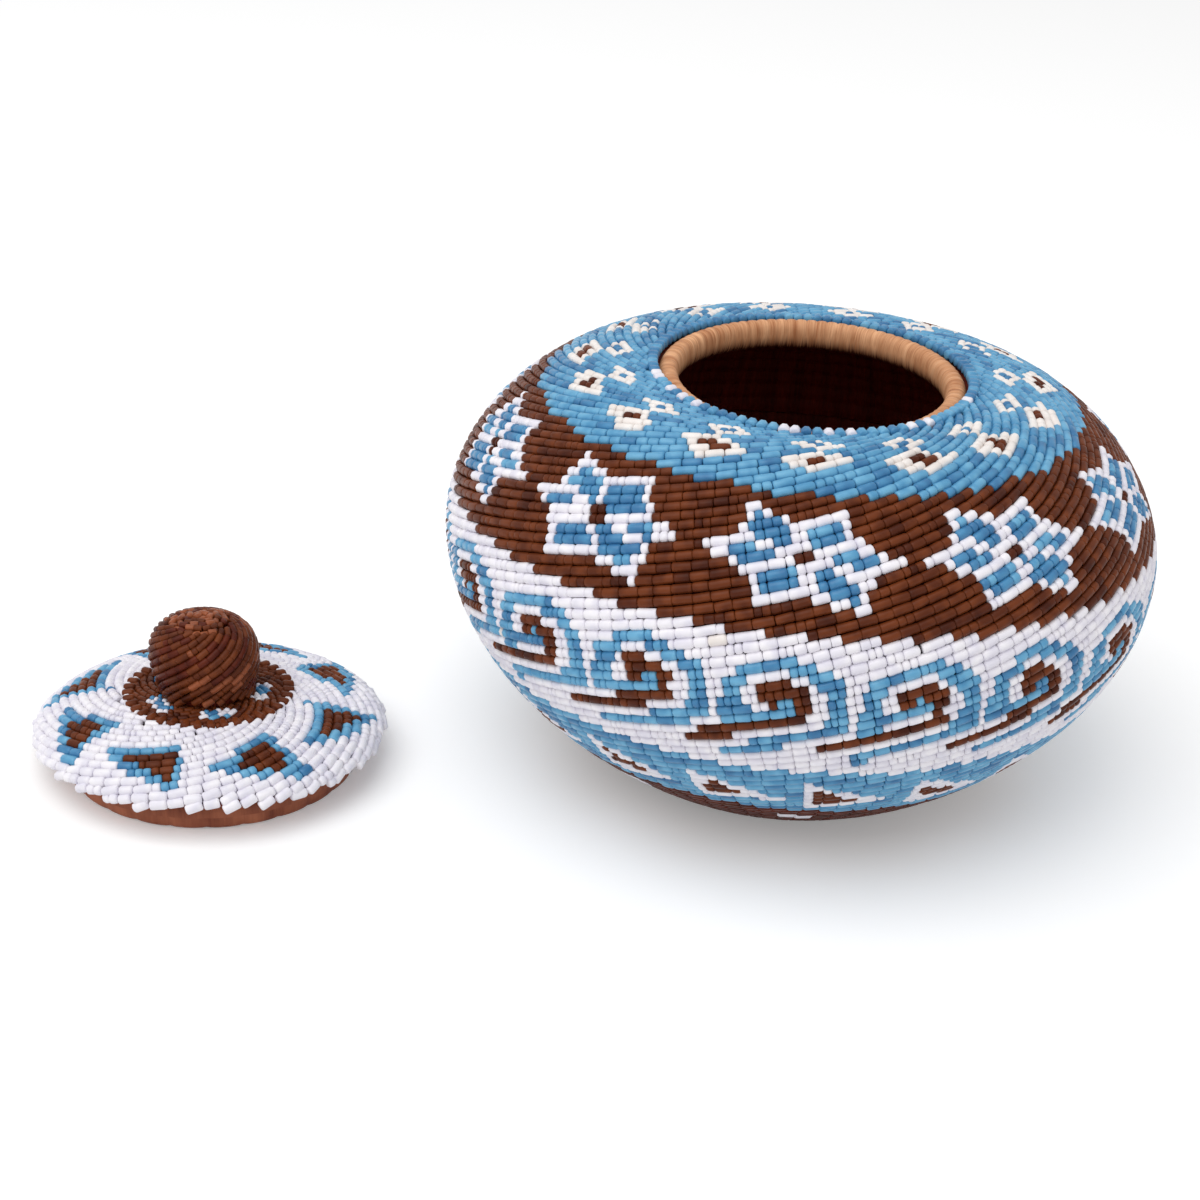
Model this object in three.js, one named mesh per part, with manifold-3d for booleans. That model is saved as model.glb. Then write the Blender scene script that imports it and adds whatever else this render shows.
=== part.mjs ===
// A lidded basket: a coiled willow pot and lid, each covered with a netting of glass seed beads.
// Millimetres, +Z up. The origin is the centre of the pot's flat foot. The lid lies beside the pot.
import * as THREE from "three";
import { mergeVertices } from "three/addons/utils/BufferGeometryUtils.js";
import Module from "manifold-3d";

const wasm = await Module();
wasm.setup();

// Side of the pot: mouth, level crest of the shoulder, belly and flat foot
const mouthRadius = 25.4;
const crestRadius = 30.3;
const crestHeight = 70.6;
const crestPull = 15.2;
const bellyRadius = 60;
const bellyHeight = 42;
const bellyPullUp = 14;
const bellyPullDown = 17.9;
const footRadius = 27.9;
const footAngle = 29.4;
const footPull = 18.3;

// Low bead lip round the mouth, and the wrapped top coil inside it
const lipRise = 0.4;
const lipWidth = 2.4;
const lipStand = 1;
const rimCoilWidth = 3.5;
const rimCoilHeight = 5;
const rimStitchPitch = 2.35;
const rimStitchDepth = 0.18;

// Bead bands from the mouth down, each measured along the surface; the foot band takes the rest
const shoulderBand = 20.2;
const starBand = 23.3;
const fretBand = 24.7;
const lowerBand = 17;

// Layers and clearances
const beadThickness = 1.7;
const layerGap = 0.5;
const pieceGap = 0.3;
const coilThickness = 3.4;
const coilPitch = 4;
const coilScallop = 0.5;
const floorRadius = 24.6;
const floorInset = 1.2;

// Six-pointed stars of the star band
const starCount = 10;
const starTurn = 1.9;
const starHalfWidth = 14.2;
const starHalfHeight = 8.2;
const starTipSpread = 8.2;
const starNotchHeight = 6;
const starNotchSpread = 9.4;
const starNotchRise = 2.7;
const starLean = 0.24;

// Lid: a domed coil disc with a flange coil that drops inside the lip of the mouth
const lidX = -95.7;
const lidY = -26.4;
const crownHeight = 13.5;
const crownPull = 22;
const lidRadius = 29.6;
const lidEdgeHeight = 6;
const lidEdgePull = 3.5;
const lidEdgeTuck = 1.1;
const lidEdgeRound = 0.4;
const seatClearance = 0.4;
const flangeWidth = 4.2;
const flangeHeight = 4.8;
const flangeRound = 1.1;
const flangeStitchPitch = 6;
const flangeStitchDepth = 0.15;

// Brown collar round the knob, with a toothed edge, and the triangles round the lid
const collarRadius = 14.1;
const collarHoleRadius = 7.2;
const collarToothPitch = 2.3;
const collarToothDepth = 1;
const lidTriangleCount = 8;
const lidTriangleTurn = 3;
const lidTriangleInner = 17.4;
const lidTriangleHeight = 10.8;
const lidTriangleLength = 12.8;
const lidTriangleLean = 1.6;

// Knob: a wound core under a swirled bead net
const knobRadius = 9.2;
const knobWidestHeight = 19.8;
const knobHeight = 27;
const knobWaistRadius = 8.3;
const knobCrownPull = 6.6;
const knobShoulderPull = 4.6;
const knobWaistPull = 2.8;
const knobSwirlCount = 20;
const knobSwirlDepth = 0.35;
const knobSwirlTurn = 110;
const knobSwirlFade = 0.33;

// Finishes
const skyBlue = { color: "#4f9bd0", roughness: 0.28 };
const white = { color: "#ece9f0", roughness: 0.3 };
const brown = { color: "#6b3519", roughness: 0.35 };
const darkBrown = { color: "#43190e", roughness: 0.35 };
const tanWillow = { color: "#b98a62", roughness: 0.75 };
const darkWillow = { color: "#2f150b", roughness: 0.85 };
const redWillow = { color: "#8a5642", roughness: 0.7 };

// Facets: sides round the axis of each kind of piece, and how far a profile's chords may sag
const netSides = 44;
const coilSides = 22;
const swirlSides = 3;
const rimCoilFacets = 8;
const netSag = 0.2;
const coilSag = 0.35;
const knobSag = 0.06;
const bendSamples = 90;
const cutReach = 3.5;
const axisSnap = 1e-3;

const degrees = Math.PI / 180;
const basket = new THREE.Group();
const pot = new THREE.Group();
const lid = new THREE.Group();
lid.position.set(lidX, lidY, 0);
basket.add(pot, lid);

function vec(radius, height) {
  return new THREE.Vector2(radius, height);
}

// A closed mesh as a solid, from its positions alone with shared vertices merged.
function solidOf(geometry) {
  geometry.deleteAttribute("normal");
  geometry.deleteAttribute("uv");
  const merged = mergeVertices(geometry, 1e-4);
  const vertProperties = new Float32Array(merged.attributes.position.array);
  const triVerts = new Uint32Array(merged.index.array);
  return new wasm.Manifold(new wasm.Mesh({ numProp: 3, vertProperties, triVerts }));
}

function geometryOf(solid) {
  const made = solid.getMesh();
  const geometry = new THREE.BufferGeometry();
  geometry.setAttribute("position", new THREE.BufferAttribute(made.vertProperties, 3));
  geometry.setIndex(new THREE.BufferAttribute(made.triVerts, 1));
  const faceted = geometry.toNonIndexed();
  faceted.computeVertexNormals();
  return faceted;
}

function addPiece(group, name, solid, finish) {
  const material = new THREE.MeshStandardMaterial({ ...finish, metalness: 0 });
  const mesh = new THREE.Mesh(geometryOf(solid), material);
  mesh.name = name;
  group.add(mesh);
}

function numbered(name, index) {
  return name + "_" + String(index + 1).padStart(2, "0");
}

// Turns a profile of (radius, height) points round the vertical axis. shape can move each vertex:
// it gets the vertex, its angle and the index of its profile point.
function turned(profile, sides, shape) {
  const geometry = new THREE.LatheGeometry(profile, sides).rotateX(Math.PI / 2);
  const position = geometry.attributes.position;
  const vertex = new THREE.Vector3();
  if (shape) {
    for (let i = 0; i < position.count; i += 1) {
      const side = Math.floor(i / profile.length) % sides;
      vertex.fromBufferAttribute(position, i);
      shape(vertex, (side / sides) * 2 * Math.PI, i % profile.length);
      position.setXYZ(i, vertex.x, vertex.y, vertex.z);
    }
  }
  return solidOf(geometry);
}

// A profile curve that is walked by arc length, with points sunk below it along its normal.
class Surface {
  constructor(curves) {
    this.curves = curves;
    this.length = this.reach(curves.length);
  }

  // Arc length at which the first few curves end.
  reach(count) {
    return this.curves.slice(0, count).reduce((sum, curve) => sum + curve.getLength(), 0);
  }

  at(arc, depth = 0) {
    let curve = this.curves[0];
    let rest = arc;
    for (const next of this.curves.slice(1)) {
      if (rest < curve.getLength()) break;
      rest -= curve.getLength();
      curve = next;
    }
    const share = THREE.MathUtils.clamp(rest / curve.getLength(), 0, 1);
    const point = curve.getPointAt(share);
    const along = curve.getTangentAt(share);
    const radius = point.x + along.y * depth;
    return vec(radius < axisSnap ? 0 : radius, point.y - along.x * depth);
  }

  // Arc length at which a curve that only widens reaches a radius.
  arcAt(radius) {
    let low = 0;
    let high = this.length;
    while (high - low > 1e-4) {
      const middle = (low + high) / 2;
      if (this.at(middle).x < radius) low = middle;
      else high = middle;
    }
    return low;
  }

  heading(arc) {
    const ahead = this.at(arc + axisSnap);
    const behind = this.at(arc - axisSnap);
    return Math.atan2(ahead.y - behind.y, ahead.x - behind.x);
  }

  // Points along a stretch at one depth, close enough that no chord between them sags by more.
  points(from, to, depth, sag) {
    const arcs = Array.from({ length: bendSamples + 1 }, (_, i) => from + ((to - from) * i) / bendSamples);
    const stride = Math.abs(to - from) / bendSamples;
    const effort = [0];
    for (let i = 1; i < arcs.length; i += 1) {
      const bend = Math.abs(this.heading(arcs[i]) - this.heading(arcs[i - 1]));
      effort.push(effort[i - 1] + Math.sqrt(bend * stride));
    }
    const total = effort[bendSamples];
    const count = Math.max(1, Math.ceil(total / Math.sqrt(8 * sag)));
    const picked = Array.from({ length: count + 1 }, (_, i) => {
      const index = effort.findIndex((sum) => sum >= (total * i) / count - axisSnap);
      return arcs[i === count ? bendSamples : index];
    });
    return picked.map((arc) => this.at(arc, depth));
  }

  // Rows of coil seen in section: a round crest on each row, a valley between rows.
  coilRows(from, to, depth, pitch, scallop) {
    const rows = Math.round(Math.abs(to - from) / pitch);
    const arcs = Array.from({ length: 2 * rows + 1 }, (_, i) => from + ((to - from) * i) / (2 * rows));
    return arcs.map((arc, i) => this.at(arc, depth - (i % 2 ? 0 : scallop)));
  }

  // A prism through the surface. outline holds points in millimetres, right and along the arc,
  // about a place given by its angle from the front and its arc length.
  plug(outline, angle, arc, depth) {
    const radius = this.at(arc).x;
    const loop = THREE.ShapeUtils.isClockWise(outline) ? [...outline].reverse() : outline;
    const ring = (level) =>
      loop.flatMap((p) => {
        const turn = angle * degrees + p.x / radius;
        const place = this.at(arc + p.y, level);
        return [place.x * Math.sin(turn), -place.x * Math.cos(turn), place.y];
      });
    const count = loop.length;
    const faces = THREE.ShapeUtils.triangulateShape(loop, []);
    const triangles = faces.flatMap(([a, b, c]) => [c, b, a, a + count, b + count, c + count]);
    for (let i = 0; i < count; i += 1) {
      const next = (i + 1) % count;
      triangles.push(i, next, next + count, i, next + count, i + count);
    }
    const geometry = new THREE.BufferGeometry();
    const vertices = new Float32Array([...ring(-cutReach), ...ring(depth)]);
    geometry.setAttribute("position", new THREE.BufferAttribute(vertices, 3));
    geometry.setIndex(triangles);
    return solidOf(geometry);
  }
}

// Moves every edge of an outline outwards by a gap.
function grown(outline, gap) {
  const loop = THREE.ShapeUtils.isClockWise(outline) ? [...outline].reverse() : outline;
  return loop.map((point, i) => {
    const before = loop[(i + loop.length - 1) % loop.length];
    const after = loop[(i + 1) % loop.length];
    const edgeIn = point.clone().sub(before).normalize();
    const edgeOut = after.clone().sub(point).normalize();
    const corner = vec(edgeIn.y + edgeOut.y, -edgeIn.x - edgeOut.x);
    return corner.multiplyScalar(gap / (1 + edgeIn.dot(edgeOut))).add(point);
  });
}

// The side of the pot, walked from the mouth down to the foot
const side = new Surface([
  new THREE.LineCurve(vec(mouthRadius, crestHeight), vec(crestRadius, crestHeight)),
  new THREE.CubicBezierCurve(
    vec(crestRadius, crestHeight),
    vec(crestRadius + crestPull, crestHeight),
    vec(bellyRadius, bellyHeight + bellyPullUp),
    vec(bellyRadius, bellyHeight),
  ),
  new THREE.CubicBezierCurve(
    vec(bellyRadius, bellyHeight),
    vec(bellyRadius, bellyHeight - bellyPullDown),
    vec(
      footRadius + footPull * Math.cos(footAngle * degrees),
      footPull * Math.sin(footAngle * degrees),
    ),
    vec(footRadius, 0),
  ),
]);
const starBandTop = shoulderBand;
const fretBandTop = starBandTop + starBand;
const lowerBandTop = fretBandTop + fretBand;
const footBandTop = lowerBandTop + lowerBand;
const coilDepth = beadThickness + layerGap;

// A band of netting: the outer face down the side, then the inner face back up.
function netBand(from, to) {
  const outer = side.points(from, to - pieceGap, 0, netSag);
  const inner = side.points(to - pieceGap, from, beadThickness, netSag);
  return turned([...outer, ...inner, outer[0]].reverse(), netSides);
}

// Basket floor: a start disc of flat coil rounds
function floorCoil() {
  const low = beadThickness + pieceGap;
  const flat = new Surface([new THREE.LineCurve(vec(0, low), vec(floorRadius, low))]);
  const rows = flat.coilRows(0, floorRadius, -coilThickness, coilPitch, -coilScallop);
  return turned([vec(0, low), vec(floorRadius, low), ...rows.reverse()], coilSides);
}

// Basket wall: coil rounds between two arc lengths, ridged inside and smooth under the netting
function coilWall(from, to) {
  const outer = side.points(from, to, coilDepth, coilSag);
  const inner = side.coilRows(to, from, coilDepth + coilThickness, coilPitch, coilScallop);
  return turned([...outer, ...inner, outer[0]].reverse(), coilSides);
}

// A ring of round section, pinched in all round between the stitches that wrap it
function wrappedRing(section, stitchPitch, stitchDepth, middle) {
  const stitches = Math.round((2 * Math.PI * middle.x) / stitchPitch);
  const pinch = (vertex, angle, index) => {
    const stitch = Math.round((angle / (2 * Math.PI)) * 2 * stitches);
    if (stitch % 2 === 0) return;
    const point = section[index];
    const sunk = 1 - stitchDepth / middle.distanceTo(point);
    const radius = middle.x + (point.x - middle.x) * sunk;
    vertex.set(vertex.x * (radius / point.x), vertex.y * (radius / point.x), vertex.z);
    if (point.y > 0) vertex.z = middle.y + (point.y - middle.y) * sunk;
  };
  return turned(section, 2 * stitches, pinch);
}

function rimCoil() {
  const halfWidth = rimCoilWidth / 2;
  const halfHeight = rimCoilHeight / 2;
  const middle = vec(
    mouthRadius - pieceGap - halfWidth,
    crestHeight + lipRise - lipStand - halfHeight,
  );
  const oval = new THREE.EllipseCurve(middle.x, middle.y, halfWidth, halfHeight);
  const section = oval.getPoints(rimCoilFacets);
  section[section.length - 1].copy(section[0]);
  return wrappedRing(section, rimStitchPitch, rimStitchDepth, middle);
}

// Netting of the foot: a flat closed bottom and the turn up to the lower band
function footNet() {
  const outer = side.points(footBandTop, side.length, 0, netSag);
  const inner = side.points(side.length - beadThickness / 2, footBandTop, beadThickness, netSag);
  return turned([vec(0, beadThickness), ...inner, ...outer, vec(0, 0)].reverse(), netSides);
}

// Netting of the shoulder, which ends in a raised lip round the mouth
function shoulderNet() {
  const lipHeight = crestHeight + lipRise;
  const outer = side.points(lipWidth, shoulderBand - pieceGap, 0, netSag);
  const lip = [vec(mouthRadius, lipHeight - lipRise), vec(mouthRadius + lipRise, lipHeight)];
  const inner = side.points(shoulderBand - pieceGap, 0, beadThickness, netSag);
  return turned([...lip, ...outer, ...inner, lip[0]].reverse(), netSides);
}

function starOutline() {
  const upper = [
    vec(-starHalfWidth, 0),
    vec(-starNotchSpread, -starNotchRise),
    vec(-starTipSpread, -starHalfHeight),
    vec(0, -starNotchHeight),
    vec(starTipSpread, -starHalfHeight),
    vec(starNotchSpread, -starNotchRise),
  ];
  const lower = upper.map((p) => vec(-p.x, -p.y));
  return [...upper, ...lower].map((p) => vec(p.x + starLean * p.y, p.y));
}

// Sets the copies of a motif into pockets cut in their netting, round the axis.
function inlay(surface, net, group, name, finish, outline, count, turn, arc) {
  const plugDepth = beadThickness + cutReach;
  let pocketed = net;
  for (let i = 0; i < count; i += 1) {
    const angle = turn + (i * 360) / count;
    addPiece(group, numbered(name, i), net.intersect(surface.plug(outline, angle, arc, plugDepth)), finish);
    const pocket = surface.plug(grown(outline, pieceGap), angle, arc, plugDepth);
    pocketed = pocketed.subtract(pocket);
  }
  return pocketed;
}

addPiece(pot, "foot_net", footNet(), darkBrown);
addPiece(pot, "floor_coil", floorCoil(), darkWillow);
const bellyArc = side.reach(2);
addPiece(pot, "lower_wall_coils", coilWall(bellyArc + pieceGap, side.length - floorInset), darkWillow);
addPiece(pot, "upper_wall_coils", coilWall(pieceGap, bellyArc), darkWillow);
addPiece(pot, "rim_coil", rimCoil(), tanWillow);
addPiece(pot, "lower_band_net", netBand(lowerBandTop, footBandTop), skyBlue);
addPiece(pot, "fret_band_net", netBand(fretBandTop, lowerBandTop), white);
addPiece(pot, "shoulder_net", shoulderNet(), skyBlue);

const starNet = netBand(starBandTop, fretBandTop);
const starArc = starBandTop + starBand / 2;
addPiece(
  pot,
  "star_band_net",
  inlay(side, starNet, pot, "star", white, starOutline(), starCount, starTurn, starArc),
  brown,
);
// The top of the lid, walked from the centre out to the edge
const lidTop = new Surface([
  new THREE.CubicBezierCurve(
    vec(0, crownHeight),
    vec(crownPull, crownHeight),
    vec(lidRadius, lidEdgeHeight + lidEdgePull),
    vec(lidRadius, lidEdgeHeight),
  ),
]);

// Domed disc of coil rounds, ridged underneath
function lidDisc() {
  const top = lidTop.points(0, lidTop.length, coilDepth, coilSag);
  const reach = lidTop.arcAt(mouthRadius);
  const under = lidTop.coilRows(reach, 0, coilDepth + coilThickness, coilPitch, coilScallop);
  return turned([...top, ...under].reverse(), coilSides);
}

// Wrapped coil under the disc, which drops inside the lip of the mouth
function lidFlange() {
  const outer = mouthRadius - seatClearance;
  const inner = outer - flangeWidth;
  const middle = vec((outer + inner) / 2, flangeHeight / 2);
  const section = [
    vec(inner + flangeRound, 0),
    vec(outer - flangeRound, 0),
    vec(outer, flangeRound),
    vec(outer, flangeHeight - flangeRound),
    vec(outer - flangeRound, flangeHeight),
    vec(inner + flangeRound, flangeHeight),
    vec(inner, flangeHeight - flangeRound),
    vec(inner, flangeRound),
  ];
  return wrappedRing([...section, section[0]], flangeStitchPitch, flangeStitchDepth, middle);
}

// Toothed disc through the top of the lid that trims the edge of the collar
function toothedPlug() {
  const teeth = Math.round((2 * Math.PI * collarRadius) / collarToothPitch);
  const corners = Array.from({ length: 2 * teeth }, (_, i) => {
    const radius = collarRadius - (i % 2 ? collarToothDepth : 0);
    const turn = (i / teeth) * Math.PI;
    return vec(radius * Math.cos(turn), radius * Math.sin(turn));
  });
  const shape = new THREE.Shape(corners);
  const depth = crownHeight + cutReach;
  return solidOf(new THREE.ExtrudeGeometry(shape, { depth, bevelEnabled: false }));
}

function topNet(fromRadius, toArc, end) {
  const from = lidTop.arcAt(fromRadius);
  const outer = lidTop.points(from, toArc, 0, netSag);
  const inner = lidTop.points(toArc, from, beadThickness, netSag);
  return turned([...outer, ...end, ...inner, outer[0]].reverse(), netSides);
}

addPiece(lid, "lid_disc_coils", lidDisc(), darkWillow);
addPiece(lid, "lid_flange_coil", lidFlange(), redWillow);

// White netting of the lid, tucked under at the edge
const tuck = [
  vec(lidRadius - lidEdgeRound, lidEdgeHeight - lidEdgeTuck + lidEdgeRound),
  vec(lidRadius - beadThickness / 2, lidEdgeHeight - lidEdgeTuck),
];
const whiteNet = topNet(collarRadius + pieceGap, lidTop.length, tuck);
const triangleOutline = [
  vec(0, -lidTriangleHeight / 2),
  vec(lidTriangleLean, lidTriangleHeight / 2),
  vec(lidTriangleLean - lidTriangleLength, 0),
];
const triangleArc = lidTriangleInner + lidTriangleHeight / 2;
addPiece(
  lid,
  "lid_net",
  inlay(
    lidTop, whiteNet, lid, "lid_triangle", skyBlue,
    triangleOutline, lidTriangleCount, lidTriangleTurn, triangleArc,
  ),
  white,
);
const collarNet = topNet(collarHoleRadius, lidTop.arcAt(collarRadius + collarToothDepth), []);
addPiece(lid, "collar_net", collarNet.intersect(toothedPlug()), brown);

// The knob, walked from its crown down to its waist on the collar
const knobFoot = lidTop.at(lidTop.arcAt(collarHoleRadius)).y + pieceGap;
const knob = new Surface([
  new THREE.CubicBezierCurve(
    vec(0, knobHeight),
    vec(knobCrownPull, knobHeight),
    vec(knobRadius, knobWidestHeight + knobShoulderPull),
    vec(knobRadius, knobWidestHeight),
  ),
  new THREE.CubicBezierCurve(
    vec(knobRadius, knobWidestHeight),
    vec(knobRadius, knobWidestHeight - knobWaistPull),
    vec(knobWaistRadius, knobFoot + knobWaistPull),
    vec(knobWaistRadius, knobFoot),
  ),
]);

function knobCore() {
  const outer = knob.points(0, knob.length, coilDepth, coilSag);
  const seat = lidTop.at(0, coilDepth).y + pieceGap;
  const profile = [...outer, vec(outer[outer.length - 1].x, seat), vec(0, seat)];
  return turned(profile.reverse(), coilSides);
}

// Bead rows that climb round the knob, as ridges that fade out at the crown
function knobNet() {
  const outer = knob.points(0, knob.length, 0, knobSag);
  const inner = knob.points(knob.length, 0, beadThickness, netSag);
  const profile = [...outer, ...inner].reverse();
  const swirl = (vertex, angle, index) => {
    const share = (profile.length - 1 - index) / (outer.length - 1);
    if (share > 1 || share === 0) return;
    const climb = (1 - share) * knobSwirlTurn * degrees;
    const fade = Math.min(1, share / knobSwirlFade);
    const bulge = knobSwirlDepth * fade * (Math.cos(knobSwirlCount * (angle - climb)) - 1);
    const radius = Math.hypot(vertex.x, vertex.y);
    vertex.x *= 1 + bulge / radius;
    vertex.y *= 1 + bulge / radius;
  };
  return turned(profile, knobSwirlCount * swirlSides, swirl);
}

addPiece(lid, "knob_core", knobCore(), darkWillow);
addPiece(lid, "knob_net", knobNet(), darkBrown);

export default basket;
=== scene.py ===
import math

import bpy
import numpy as np
from mathutils import Matrix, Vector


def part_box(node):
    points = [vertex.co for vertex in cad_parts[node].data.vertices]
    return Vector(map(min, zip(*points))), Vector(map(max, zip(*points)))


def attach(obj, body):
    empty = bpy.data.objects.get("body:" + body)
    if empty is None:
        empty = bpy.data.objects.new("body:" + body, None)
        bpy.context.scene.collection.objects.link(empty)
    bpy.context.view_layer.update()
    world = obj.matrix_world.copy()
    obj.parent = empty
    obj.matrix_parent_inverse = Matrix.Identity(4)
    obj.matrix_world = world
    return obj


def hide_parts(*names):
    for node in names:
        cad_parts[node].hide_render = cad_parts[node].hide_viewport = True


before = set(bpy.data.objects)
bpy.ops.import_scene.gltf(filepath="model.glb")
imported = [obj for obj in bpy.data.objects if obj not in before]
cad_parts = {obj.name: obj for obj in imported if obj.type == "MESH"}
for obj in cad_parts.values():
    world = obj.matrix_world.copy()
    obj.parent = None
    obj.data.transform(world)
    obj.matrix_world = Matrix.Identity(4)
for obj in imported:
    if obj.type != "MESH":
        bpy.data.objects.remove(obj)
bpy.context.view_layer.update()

# Table, light and camera. The basket stands on a plain white table, under a wide soft light
# overhead and a pale room all round. The camera looks down from the front, a little to the left.
# Lengths are in metres and angles in radians.
table_reach = 2.0
table_white = "#f4f4f4"
table_glow = 0.22
room_strength = 0.82
overhead_power = 8.2
overhead_size = 1.2
overhead_place = (-0.35, -0.45, 1.1)
camera_place = (0.0, -0.321438, 0.179411)
camera_turn = -0.1026
camera_drop = 0.4485
camera_roll = 0.0551
camera_lens = 60.99
camera_sensor = 36
camera_nearest = 0.01


def linear(code):
    """The linear colour of an sRGB hex code: each channel c becomes ((c + 0.055) / 1.055) ^ 2.4,
    or c / 12.92 where it is very dark."""
    channels = [int(code[i : i + 2], 16) / 255 for i in (1, 3, 5)]
    return tuple(c / 12.92 if c < 0.04045 else ((c + 0.055) / 1.055) ** 2.4 for c in channels) + (1,)


def add_node(tree, kind, values=None, links=None, **settings):
    """Adds one shader node: its settings, the values of its sockets and the links into them."""
    made = tree.nodes.new("ShaderNode" + kind)
    for key, value in settings.items():
        setattr(made, key, value)
    for socket, value in (values or {}).items():
        made.inputs[socket].default_value = value
    for socket, source in (links or {}).items():
        tree.links.new(source, made.inputs[socket])
    return made


def empty_tree(owner):
    """The node tree of a material or a world, with nothing in it."""
    owner.use_nodes = True
    owner.node_tree.nodes.clear()
    return owner.node_tree


def white_to_the_eye(tree):
    """1 for a ray from the camera, or one seen in gloss or through glass, and 0 for the rest: the
    largest of the light path's three flags."""
    flags = add_node(tree, "LightPath").outputs
    white = flags["Is Camera Ray"]
    for flag in ("Is Glossy Ray", "Is Transmission Ray"):
        white = add_node(tree, "Math", {}, {0: white, 1: flags[flag]}, operation="MAXIMUM").outputs[0]
    return white


def table_finish():
    """Matt white laminate, with a little glow to the eye alone so that it meets the white room."""
    material = bpy.data.materials.new("white_laminate")
    tree = empty_tree(material)
    matt = add_node(tree, "BsdfDiffuse", {"Color": linear(table_white)})
    glow = add_node(tree, "Emission", {"Strength": table_glow})
    none = add_node(tree, "Emission", {"Strength": 0.0})
    seen = add_node(
        tree, "MixShader", {}, {0: white_to_the_eye(tree), 1: none.outputs[0], 2: glow.outputs[0]}
    )
    both = add_node(tree, "AddShader", {}, {0: matt.outputs[0], 1: seen.outputs[0]})
    add_node(tree, "OutputMaterial", {}, {"Surface": both.outputs[0]})
    return material


corners = [(x * table_reach, y * table_reach, 0) for x, y in ((-1, -1), (1, -1), (1, 1), (-1, 1))]
table_mesh = bpy.data.meshes.new("table")
table_mesh.from_pydata(corners, [], [(0, 1, 2, 3)])
table_mesh.materials.append(table_finish())
table = bpy.data.objects.new("table", table_mesh)
bpy.context.scene.collection.objects.link(table)

room = bpy.data.worlds.new("room")
bpy.context.scene.world = room
room_tree = empty_tree(room)
lit = add_node(room_tree, "Background", {"Strength": room_strength})
shown = add_node(room_tree, "Background", {"Strength": 1.0})
room_mix = add_node(
    room_tree, "MixShader", {},
    {0: white_to_the_eye(room_tree), 1: lit.outputs[0], 2: shown.outputs[0]},
)
add_node(room_tree, "OutputWorld", {}, {"Surface": room_mix.outputs[0]})

overhead = bpy.data.objects.new("overhead", bpy.data.lights.new("overhead", "AREA"))
overhead.data.energy = overhead_power
overhead.data.size = overhead_size
overhead.location = overhead_place
overhead.rotation_euler = (
    -math.atan2(overhead_place[1], overhead_place[2]),
    math.atan2(overhead_place[0], overhead_place[2]),
    0,
)
bpy.context.scene.collection.objects.link(overhead)

camera = bpy.data.objects.new("camera", bpy.data.cameras.new("camera"))
camera.data.lens = camera_lens
camera.data.sensor_width = camera_sensor
camera.data.clip_start = camera_nearest
camera.matrix_world = (
    Matrix.Translation(camera_place)
    @ Matrix.Rotation(-camera_turn, 4, "Z")
    @ Matrix.Rotation(math.pi / 2 - camera_drop, 4, "X")
    @ Matrix.Rotation(camera_roll, 4, "Z")
)
bpy.context.scene.collection.objects.link(camera)
bpy.context.scene.camera = camera
bpy.context.scene.view_settings.view_transform = "Standard"

# Basket wall. The pot is coiled from a bundle of willow rods, one round on the next from the floor
# to the mouth. Its inside is painted a dark reddish brown, darker than the willow itself: painted
# shade for the shadow deep inside the pot. Netting hides the outside, which is trimmed smooth.
mouth_radius = 0.0254
crest_radius = 0.0303
crest_height = 0.0706
crest_pull = 0.0152
crest_steps = 12
belly_radius = 0.060
belly_height = 0.042
belly_pull_up = 0.014
belly_pull_down = 0.0179
foot_radius = 0.0279
foot_angle = math.radians(29.4)
foot_pull = 0.0183
wall_depth = 0.0022
wall_thickness = 0.0034
wall_joint = 0.0003
wall_foot_gap = 0.0012
wall_sides = 180
wall_turn = np.arange(wall_sides)[:, None] * 2 * math.pi / wall_sides
smooth_steps = 40
coiled_steps = 160
coil_pitch = 0.0040
coil_scallop = 0.0005


def bezier(start, pull_start, pull_end, end, count=120):
    """Points on a cubic curve: the four control points weighted by the Bernstein terms of t."""
    t = np.linspace(0, 1, count)[:, None]
    weights = [(1 - t) ** 3, 3 * t * (1 - t) ** 2, 3 * t**2 * (1 - t), t**3]
    return sum(w * np.array(p) for w, p in zip(weights, [start, pull_start, pull_end, end]))


class Side:
    """A curve of radius and height that is walked by its arc length, the running sum of the gaps
    between its points. Its slope is the unit vector along it."""

    def __init__(self, *stretches):
        points = np.concatenate([stretches[0]] + [s[1:] for s in stretches[1:]])
        self.points = points
        self.arc = np.concatenate([[0], np.cumsum(np.linalg.norm(np.diff(points, axis=0), axis=1))])
        self.length = self.arc[-1]
        slope = np.gradient(points, self.arc, axis=0)
        self.slope = slope / np.linalg.norm(slope, axis=1)[:, None]

    def arc_at(self, radius):
        """Arc length at a radius, on a curve whose radius only grows."""
        return float(np.interp(radius, self.points[:, 0], self.arc))

    def at(self, arc, depth=0.0):
        """Radius and height at an arc length, sunk by a depth along the inward normal, which is the
        slope turned by a quarter."""
        radius, height = (np.interp(arc, self.arc, self.points[:, i]) for i in (0, 1))
        out, up = (np.interp(arc, self.arc, self.slope[:, i]) for i in (0, 1))
        return radius + up * depth, height - out * depth

    def axes(self, turn, arc, depth):
        """Places on the surface, with the unit vectors to the right, down the side and outwards. A
        turn of 0 is the front: a place lies the radius times the sine of its turn to the right, and
        the radius times the cosine to the front."""
        radius, height = self.at(arc, depth)
        out, up = (np.interp(arc, self.arc, self.slope[:, i]) for i in (0, 1))
        sine, cosine = np.sin(turn), np.cos(turn)
        place = np.stack([radius * sine, -radius * cosine, height], -1)
        right = np.stack([cosine, sine, np.zeros_like(turn)], -1)
        down = np.stack([out * sine, -out * cosine, up], -1)
        normal = np.stack([-up * sine, up * cosine, out], -1)
        return place, right, down, normal


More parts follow.
